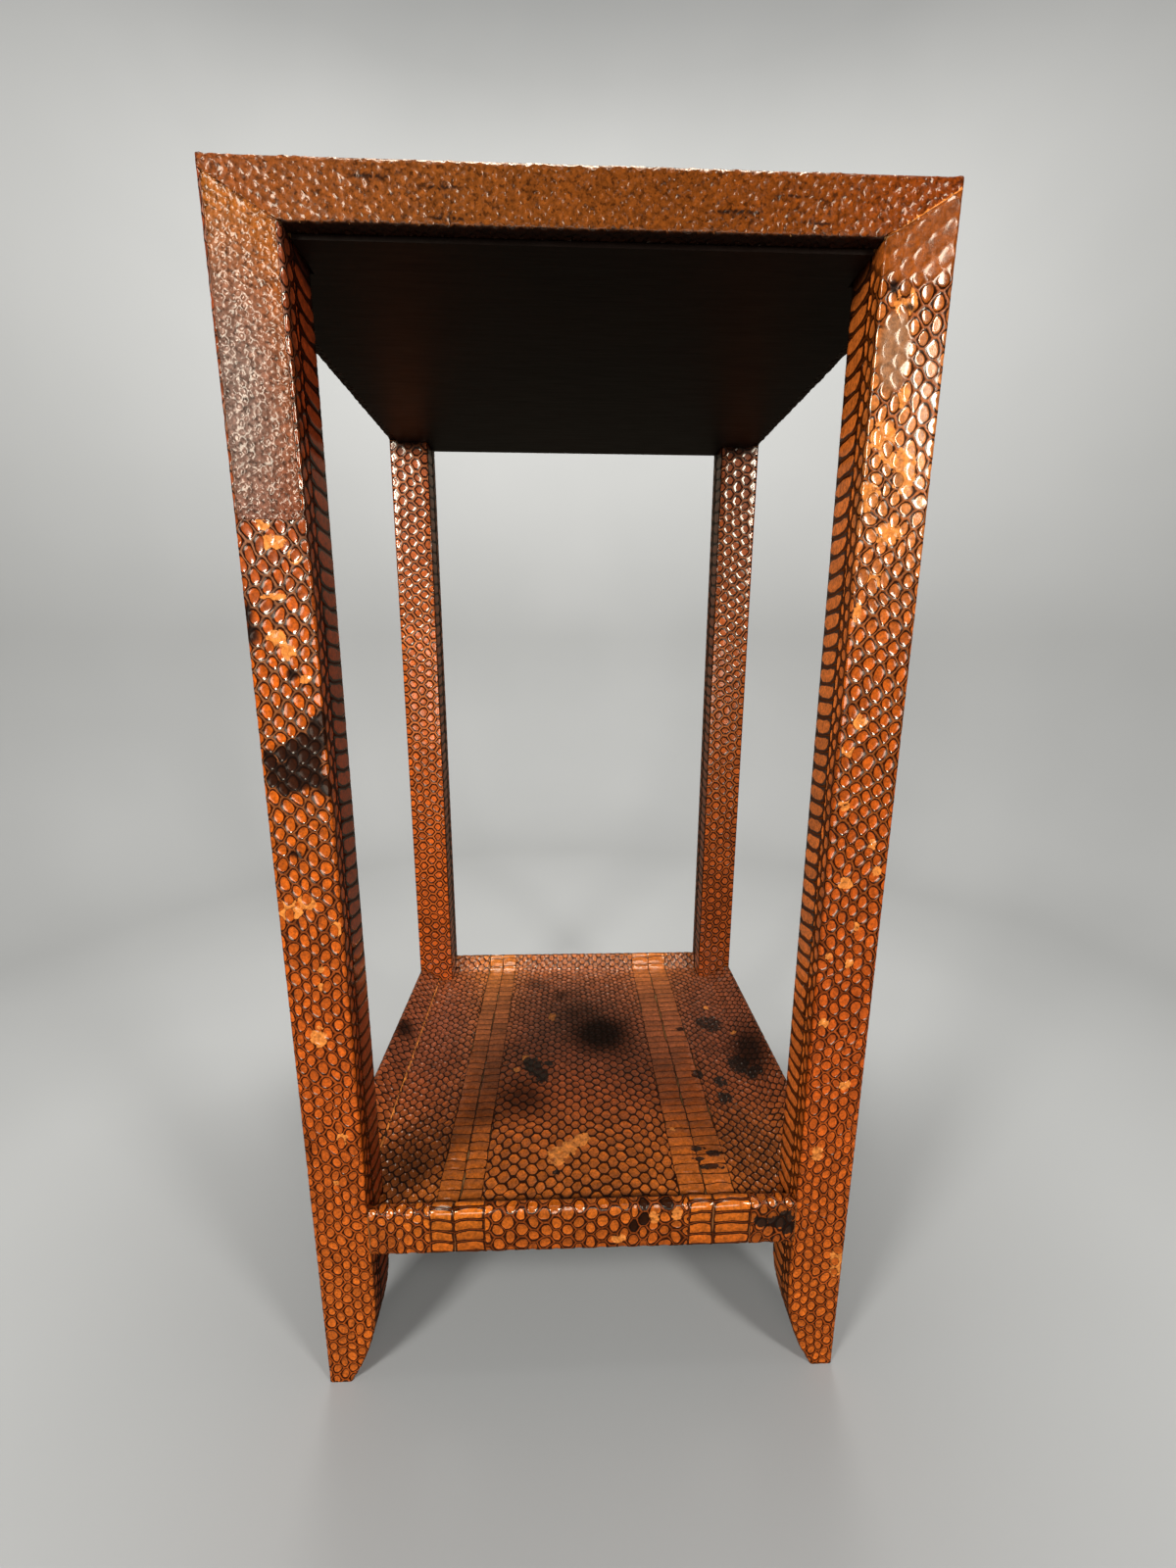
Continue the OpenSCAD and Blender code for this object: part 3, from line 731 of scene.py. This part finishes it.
def band_ends(length):
    def limit(u, v):
        d, z, _, _ = follow(band_path, v)
        near = np.minimum(u, length - u)
        under = v < turned_under
        low = np.where(under, leg_side + hair, np.maximum(d, 0))
        u = np.clip(u, low, length - low)
        mitre = mitre_at(near) + hair
        past = ~under & (near < leg_side) & (z < mitre)
        return u, np.where(past, turned_under + mitre - under_slab - low_round, v)
    return limit


def on_band(side, length):
    def place(u, v, h):
        d, z, n_d, n_z = follow(band_path, v)
        depth, up = d + n_d * h, z + n_z * h
        edge = np.clip(u, arris, length - arris)
        away, inward = u - edge, np.minimum(depth - arris, 0)
        far = np.hypot(away, inward)
        turn = (away != 0) & (far > arris)
        pull = np.where(turn, arris / np.maximum(far, 1e-9), 1)
        u = np.where(turn, edge + away * pull, u)
        depth = np.where(turn, arris + inward * pull, depth)
        return on_side(side, u, depth, up)
    return place


def band_colours(cracks):
    def colours(sheet):
        vary = 0.92 + 0.16 * sheet.chance[:, None]
        dye = stops(sheet.mu, [(0, 154, 86, 46), (0.03, 146, 82, 38), (0.1, 132, 74, 28),
                               (0.2, 126, 67, 20), (0.25, 134, 68, 18), (0.302, 144, 66, 16)]) * vary
        # The skin turned under the rail is drawn near black: dark stain and painted shade together
        under = np.clip((turned_under - sheet.v) / 0.001, 0, 1)
        up = under_slab + low_round + sheet.v - turned_under
        # A light line painted along the front band's right mitre seam: a painted highlight where the seam
        # stands up
        off_mitre = np.abs(up - mitre_at(sheet.u.max() - sheet.u)) / 0.0006
        raised = np.clip(1.4 - off_mitre, 0, 1) * (up > under_slab) * (len(cracks) > 0)
        return {"dye": dye, "web": dye * 0.7, "pale": raised, "plain": filled_in,
                "soot": np.maximum(under, 0.8 * patches(sheet.u, sheet.v, cracks, 0.6))}
    return colours


front_cracks = [(68, 22.5, 10, 0.7), (94, 19.5, 9, 0.7), (97, 9, 10, 0.7), (213, 14, 13, 0.8),
                (235, 20, 8, 0.6), (246, 11, 8, 0.6)]
for seed, side in enumerate(("front", "back", "left", "right"), 41):
    length = wide if side in ("front", "back") else deep
    band = Sheet(band_hide, fine_skin, (0, length), (0, band_path[0][-1]), seed)
    band.trim(band_ends(length))
    look = band_colours(front_cracks if side == "front" else ())
    laid_skin(f"slab_band_{side}", [band], fine_skin, on_band(side, length), look,
              f"apron_skin_{side}")

# The shelf's skins.
# Lacquered python in three widths, glued over the front rail, the tray and the back rail: ovals,
# with belly plates along the seams. Each side rail has its own, the left to a slanting seam.

shelf_low, floor_up, rim_up = 0.092, 0.1095, 0.121
end_rim, end_slope, end_edge = 0.007, 0.012, 0.0008
side_rim, side_slope, side_edge = 0.004, 0.022, 0.0005
rim_round, floor_bend = 0.0035, 0.0015
skin_joints = (0.0785, 0.2265)
left_seam = (0.0205, 0.0185)
seam_gap = 0.00002

outside = [(turn_in, shelf_low, 0), (0, shelf_low, low_round), (0, rim_up, rim_round)]
front_path = rounded_path(outside + [(end_rim, rim_up, end_edge), (end_slope, floor_up, 0)])
face_path = rounded_path(outside + [(rim_round, rim_up, 0)])
left_path = rounded_path(outside + [(side_rim, rim_up, side_edge), (side_slope, floor_up, 0)])
floor_path = rounded_path([(end_slope, floor_up, 0), (deep - end_slope, floor_up, floor_bend),
                           (deep - end_rim, rim_up, end_edge), (deep - rim_round, rim_up, 0)])
cross_path = rounded_path([(side_rim, rim_up, 0), (side_slope, floor_up, floor_bend),
                           (wide - side_slope, floor_up, floor_bend),
                           (wide - side_rim, rim_up, side_edge), (wide - rim_round, rim_up, 0)])
# Across the tray, u is the distance from the left face as long as the floor is flat
level = half_wide - np.interp(half_wide, cross_path[1][:, 0], cross_path[0])
right_end = level + cross_path[0][-1]


def on_floor(u, v, h):
    x, z_x, n_x, n_zx = follow(cross_path, u - level)
    y, z_y, n_y, n_zy = follow(floor_path, v)
    n_z = n_zx + n_zy - 1
    size = np.sqrt(n_x ** 2 + n_y ** 2 + n_z ** 2)
    return np.stack([x - half_wide + n_x / size * h, y - half_deep + n_y / size * h,
                     z_x + z_y - floor_up + n_z / size * h], 1)


def round_the_legs(u, v):
    """Cuts the floor's skin out round the legs."""
    near_x = np.minimum(u, wide - u)
    y = v + end_slope
    near_y = np.minimum(y, deep - y)
    inside = (near_x < leg_side) & (near_y < leg_side)
    by_x = inside & (near_x > near_y)
    u = np.where(by_x, np.where(u < half_wide, leg_side, wide - leg_side), u)
    past_leg = np.where(y < half_deep, leg_side, deep - leg_side) - end_slope
    return u, np.where(inside & ~by_x, past_leg, v)


def up_the_slope(y):
    """How far up the left slope its seam lies, along the skin from the floor's edge."""
    x = np.interp(y, [leg_side, deep - leg_side], left_seam)
    run = side_slope - side_rim
    return (side_slope - x) * math.hypot(run, rim_up - floor_up) / run


def past_left_seam(u, v):
    return np.maximum(u, side_slope - up_the_slope(v + end_slope) + seam_gap), v


def on_rail(side, path):
    def place(u, v, h):
        d, z, n_d, n_z = follow(path, v)
        return on_side(side, u, d + n_d * h, z + n_z * h)
    return place


def shelf_colours(spot, dyes, web_stops, ring=7, black=(), patch=(), pale=(), soot=()):
    """spot gives, for a sheet, each scale's and each point's place on the shelf: how far from
    the left face and from the front, both seen from above, or up the front rail. ring is
    how narrow the scales' dark edges are."""
    def colours(sheet):
        (mx, my), (x, y) = spot(sheet)
        vary = 0.78 + 0.44 * sheet.chance[:, None]
        toned = np.interp(mx, [0.06, 0.068, 0.09, 0.098, 0.235, 0.26], [1, 0.84, 0.84, 1, 1, 0.76])
        dye = stops(my, dyes) * vary * toned[:, None]
        golden = np.exp(-((mx - 0.076) / 0.02) ** 2) + 0.5 * np.exp(-((mx - 0.228) / 0.02) ** 2)
        golden = golden * np.interp(my, [0.05, 0.16, 0.26], [0.2, 1, 1.35])
        dye = dye * (1 + golden[:, None] * [0.5, 0.7, 0.3])
        burnt = (patches(mx, my, black, 0.01) > 0.5) & (sheet.rim < 0.9)
        sheet.rim = sheet.rim ** ring
        seam = 0.4 * np.clip(1 - np.abs(x[:, None] - skin_joints) / 0.0008, 0, 1).max(1)
        return {"dye": dye, "web": stops(y, web_stops), "pale": patches(x, y, pale),
                "black": patches(x, y, patch),
                "soot": np.max([patches(x, y, soot, 1.3), seam, burnt], axis=0)}
    return colours


def seen_from_above(sheet):
    return (sheet.mu, sheet.mv + end_slope), (sheet.u, sheet.v + end_slope)


def seen_from_front(sheet):
    up = shelf_low + low_round - turned_under
    return (sheet.mu, sheet.mv + up), (sheet.u, sheet.v + up)


def seen_from_behind(sheet):
    return (wide - sheet.mu, deep + 0 * sheet.mv), (wide - sheet.u, deep + 0 * sheet.v)


floor_dyes = [(0, 205, 114, 42), (0.05, 196, 106, 40), (0.1, 170, 86, 42), (0.15, 146, 76, 48),
              (0.2, 156, 84, 56), (0.26, 172, 96, 60), (0.3, 192, 108, 52)]
dark_net = [(0, 60, 26, 12), (0.1, 52, 23, 13), (0.2, 44, 22, 16), (0.3, 56, 28, 16)]
floor_look = shelf_colours(
    seen_from_above, floor_dyes, dark_net,
    patch=[(117, 138, 7, 10), (113, 144, 5, 6), (124, 128, 5, 8), (128, 142, 4, 3), (268, 190, 10, 11),
           (260, 194, 5, 5), (240, 184, 4, 3), (243, 126, 4, 5), (259, 117, 5, 6), (258, 99, 5, 6),
           (278, 136, 8, 10), (288, 124, 7, 6), (228, 53, 5, 2), (238, 49, 5, 3), (227, 45, 3, 2),
           (234, 38, 8, 2.5), (135.5, 37, 2.5, 2), (20, 72, 2, 3)],
    pale=[(136, 50, 6, 7), (143, 56, 6, 6), (150, 62, 6, 5), (154, 65, 4, 4), (130, 205, 3, 6),
          (110, 149, 3, 4), (104, 135, 2.5, 3), (215, 70, 2, 2), (270, 215, 2, 3), (285, 176, 3, 2),
          (20.2, 60, 0.9, 40), (19.6, 121, 0.9, 40), (19, 181, 0.9, 40), (18.4, 241, 0.9, 40)],
    # Among these spots, (42, 44), (62, 66) and (86, 88) are a painted shadow of the front left leg, (110,
    # 103) is stain and painted shadow together, and the thin band at y = 15 is painted shade behind the
    # front rim
    soot=[(172, 180, 26, 27, 0.95), (180, 160, 22, 18, 0.5), (160, 206, 26, 22, 0.5),
          (192, 200, 20, 22, 0.4), (138, 241, 9, 10, 0.6), (110, 103, 22, 22, 0.65), (86, 88, 20, 16, 0.5),
          (62, 66, 18, 16, 0.4), (7, 178, 8, 14, 0.8), (291, 148, 17, 32, 0.8), (115, 262, 16, 14, 0.5),
          (50, 150, 14, 34, 0.35), (42, 44, 32, 30, 0.55), (152, 15, 190, 4.8, 0.95)])
rail_look = shelf_colours(
    seen_from_front, [(0.09, 184, 90, 26), (0.12, 206, 108, 30)], [(0.1, 158, 80, 36)], ring=1.4,
    black=[(180, 104, 5, 5), (188, 109, 4, 5), (184, 119, 4, 4), (198, 120, 4, 4)],
    patch=[(262, 107, 7, 4), (256, 106, 4, 3), (268, 111, 5, 4), (270, 103, 4, 4), (253, 109, 3, 3)],
    pale=[(192, 113, 3, 4), (205, 115, 3, 4), (172, 99, 4, 3)])
behind_look = shelf_colours(seen_from_behind, floor_dyes, dark_net)

# The middle skin's scales are largest at the front and close up towards the back
fan_at = np.linspace(-0.03, 0.45, 241)
fan_size = np.interp(fan_at, [0, 0.05, 0.10, 0.16, 0.30], [1.08, 1.04, 0.96, 0.88, 0.82])
fan_way = np.cumsum(fan_size) * (fan_at[1] - fan_at[0])
fan_way = fan_way - np.interp(0, fan_at, fan_way)
fan_middle = 0.1515


def fanned(u, v):
    return fan_middle + (u - fan_middle) * np.interp(v, fan_at, fan_size), np.interp(v, fan_at, fan_way)


left_hide = scales("left shelf oval", 0.0047, 0.0074, 0.0004, fill=1.03)
middle_hide = scales("middle shelf oval", 0.0054, 0.0080, 0.0004, fill=1.03, turn=0.3, jitter=0.0016)
right_hide = scales("right shelf oval", 0.0040, 0.0068, 0.00035, steps=2, turn=0.35, jitter=0.0020)
rail_hide = scales("rail oval", 0.0053, 0.0090, 0.0004, fill=1.05)
wide_rail_hide = scales("wide rail oval", 0.0064, 0.0096, 0.0004, fill=1.06)
floor_cuts = (0.0175, 0.065, 0.0915, 0.210, 0.244, right_end)
rail_cuts = (leg_side + hair, 0.065, 0.096, 0.212, 0.248, wide - leg_side - hair)
for tier, path, place, look, cuts, hides in (
        ("shelf_skin", floor_path, on_floor, floor_look, floor_cuts, (left_hide, middle_hide, right_hide)),
        ("rim_skin_front", front_path, on_rail("front", front_path), rail_look, rail_cuts,
         (rail_hide, wide_rail_hide, rail_hide)),
        ("rim_skin_back", face_path, on_rail("back", face_path), behind_look, rail_cuts,
         (left_hide,) * 3)):
    joints = [(joint - seam_gap, joint + seam_gap) for joint in skin_joints]
    for part, zones in (("left", [(hides[0], cuts[0], cuts[1]), (None, cuts[1], joints[0][0])]),
                        ("", [(None, joints[0][1], cuts[2]), (hides[1], cuts[2], cuts[3]),
                              (None, cuts[3], joints[1][0])]),
                        ("right", [(None, joints[1][1], cuts[4]), (hides[2], cuts[4], cuts[5])])):
        node = f"{tier}_{part}" if part else tier
        flat = []
        for k, (hide, low, high) in enumerate(zones):
            if tier == "rim_skin_back":
                low, high = wide - high, wide - low
            kind = hide or plates("shelf plate", high - low, 0.0074, 0.0003, groove=0.0006, corner=0.3)
            zone = Sheet(kind, coarse_skin, (low, high), (hair, path[0][-1] - hair),
                         60 + 10 * len(part) + 3 * len(tier) + k, slant=0 if hide else 0.04 * (-1) ** k,
                         bow=0 if hide else 0.0008, warp=fanned if hide is middle_hide else None)
            if tier == "shelf_skin":
                zone.trim(round_the_legs)
                if part == "left":
                    zone.trim(past_left_seam)
            flat.append(zone)
        laid_skin(node.replace("skin", "scales"), flat, coarse_skin, place, look, node)


def up_to_left_seam(u, v):
    return u, np.minimum(v, left_path[0][-1] - up_the_slope(deep - u))


def seen_from_left(sheet):
    def across(v):
        return np.interp(v, left_path[0], left_path[1][:, 0])
    return (across(sheet.mv), deep - sheet.mu), (across(sheet.v), deep - sheet.u)


def seen_from_right(sheet):
    return (wide + 0 * sheet.mu, sheet.mu), (wide + 0 * sheet.u, sheet.u)


side_run = (leg_side + hair, deep - leg_side - hair)
left_rim = Sheet(left_hide, coarse_skin, side_run, (0, left_path[0][-1]), 91)
left_rim.trim(up_to_left_seam)
laid_skin("rim_scales_left", [left_rim], coarse_skin, on_rail("left", left_path),
          shelf_colours(seen_from_left, floor_dyes, dark_net, soot=[(7, 178, 8, 14, 0.8)]),
          "rim_skin_left")
right_rim = Sheet(left_hide, coarse_skin, side_run, (0, face_path[0][-1]), 92)
laid_skin("rim_scales_right", [right_rim], coarse_skin, on_rail("right", face_path),
          shelf_colours(seen_from_right, floor_dyes, dark_net), "rim_skin_right")

# The top's skin.
# One wide skin over the board, from edge to edge of the slab: ovals in the middle and at
# the sides with two ladders of belly plates between, the same hide as the edge bands.

top_ladders = (0.062, 0.078, 0.227, 0.243)
top_hide = scales("top oval", 0.0050, 0.0078, 0.00022, steps=2, fill=0.97, turn=0.3, crinkle=0.0003)
ends = [slab_round, *top_ladders, wide - slab_round]
flat = []
for k, (low, high) in enumerate(zip(ends, ends[1:])):
    hide = plates("top plate", high - low, 0.0076, 0.0002) if k % 2 else top_hide
    flat.append(Sheet(hide, fine_skin, (low, high), (slab_round, deep - slab_round), 100 + k))


def top_colours(sheet):
    vary = 0.82 + 0.36 * sheet.chance[:, None]
    dye = stops(sheet.mu, [(0, 190, 106, 46), (0.07, 196, 114, 44), (0.15, 182, 100, 40),
                           (0.24, 194, 106, 36), (0.305, 186, 92, 30)]) * vary
    return {"dye": dye, "web": dye * 0.5, "plain": 0.45,
            "soot": patches(sheet.u, sheet.v, [(120, 205, 22, 16, 0.6), (205, 90, 12, 20, 0.5)], 1.3)}


laid_skin("top_scales", flat, fine_skin,
          lambda u, v, h: np.stack([u - half_wide, v - half_deep, slab_high + h], 1),
          top_colours, "top_skin")

# The photograph's stage.
# A pale grey bowl for floor and backdrop, five warm lamps, and the camera where it stood. The
# bowl is pale to the camera and dim to the lacquer, so that the dark colours keep their depth.

bowl_radius, bowl_height, cove = 1.30, 2.4, 0.45
outline = [(0.0, 0.0), (bowl_radius - cove, 0.0)]
outline += [(bowl_radius - cove + cove * math.sin(t), cove - cove * math.cos(t))
            for t in np.linspace(0, math.pi / 2, 13)[1:]]
outline += [(bowl_radius, bowl_height)]
around = 96
ways = [(math.sin(2 * math.pi * k / around), -math.cos(2 * math.pi * k / around)) for k in range(around)]
spots = [(0, 0, 0)] + [(d * x, d * y, z) for d, z in outline[1:] for x, y in ways]
faces = [(0, 1 + k, 1 + (k + 1) % around) for k in range(around)]
for ring in range(len(outline) - 2):
    a, b = 1 + ring * around, 1 + (ring + 1) * around
    faces += [(a + k, b + k, b + (k + 1) % around, a + (k + 1) % around) for k in range(around)]
mesh = bpy.data.meshes.new("bowl")
mesh.from_pydata(spots, [], faces)
mesh.polygons.foreach_set("use_smooth", [True] * len(faces))
bowl = put("bowl", mesh)
cloth, r, place = new_finish("pale grey cloth")
shade = r.noise(place, 0.4, 2.0)
colour = r.mix(shade, tint(174, 185, 202), tint(186, 197, 215))
bright = r.add("ShaderNodeBsdfPrincipled", {}, {"Base Color": colour, "Roughness": 0.9})
dim = r.add("ShaderNodeBsdfPrincipled", {}, {"Base Color": tint(72, 70, 66), "Roughness": 0.9})
seen = r.add("ShaderNodeLightPath", out="Is Camera Ray")
r.add("ShaderNodeOutputMaterial", {}, {
    "Surface": r.add("ShaderNodeMixShader", {}, {0: seen, 1: dim, 2: bright})})
mesh.materials.append(cloth)

lamps = (("left lamp", (-0.56, -0.78, 0.80), (0, 0, 0.3), 6.4, (0.20, 0.34)),
         ("right lamp", (0.60, -0.78, 0.76), (0, 0, 0.3), 4.8, (0.16, 0.36)),
         ("low lamp", (0.0, -1.08, 0.30), (0, 0, 0.10), 3.2, (0.80, 0.30)),
         ("top lamp", (0.0, 0.15, 1.80), (0, 0, 0.3), 10.0, (0.80, 0.80)),
         ("wall lamp", (0.0, 0.20, 1.50), (0, 1.25, 0.5), 19.0, (0.60, 0.30)))
for name, spot, aim, power, size in lamps:
    lamp = bpy.data.lights.new(name, "AREA")
    lamp.shape, lamp.size, lamp.size_y, lamp.energy = "RECTANGLE", *size, power
    lamp.color = (1.0, 0.88, 0.70)
    stand = put(name, lamp)
    stand.location = spot
    stand.rotation_euler = (Vector(aim) - Vector(spot)).to_track_quat("-Z", "Y").to_euler()

world = bpy.data.worlds.new("room")
world.use_nodes = True
world.node_tree.nodes.clear()
r = Recipe(world.node_tree)
sky = r.add("ShaderNodeBackground", {}, {"Color": tint(214, 216, 218), "Strength": 0.12})
r.add("ShaderNodeOutputWorld", {}, {"Surface": sky})
bpy.context.scene.world = world

lens = bpy.data.cameras.new("camera")
lens.sensor_width, lens.lens = 36, 14.3847
lens.clip_start, lens.clip_end = 0.01, 20
camera = put("camera", lens)
camera.matrix_world = (Matrix.Translation((-0.01001, -0.44459, 0.43176))
                       @ Matrix.Rotation(-0.037159, 4, "Z") @ Matrix.Rotation(-0.218558, 4, "X")
                       @ Matrix.Rotation(-0.003813, 4, "Y") @ Matrix.Rotation(math.pi / 2, 4, "X"))
bpy.context.scene.camera = camera
bpy.context.scene.view_settings.view_transform = "Standard"
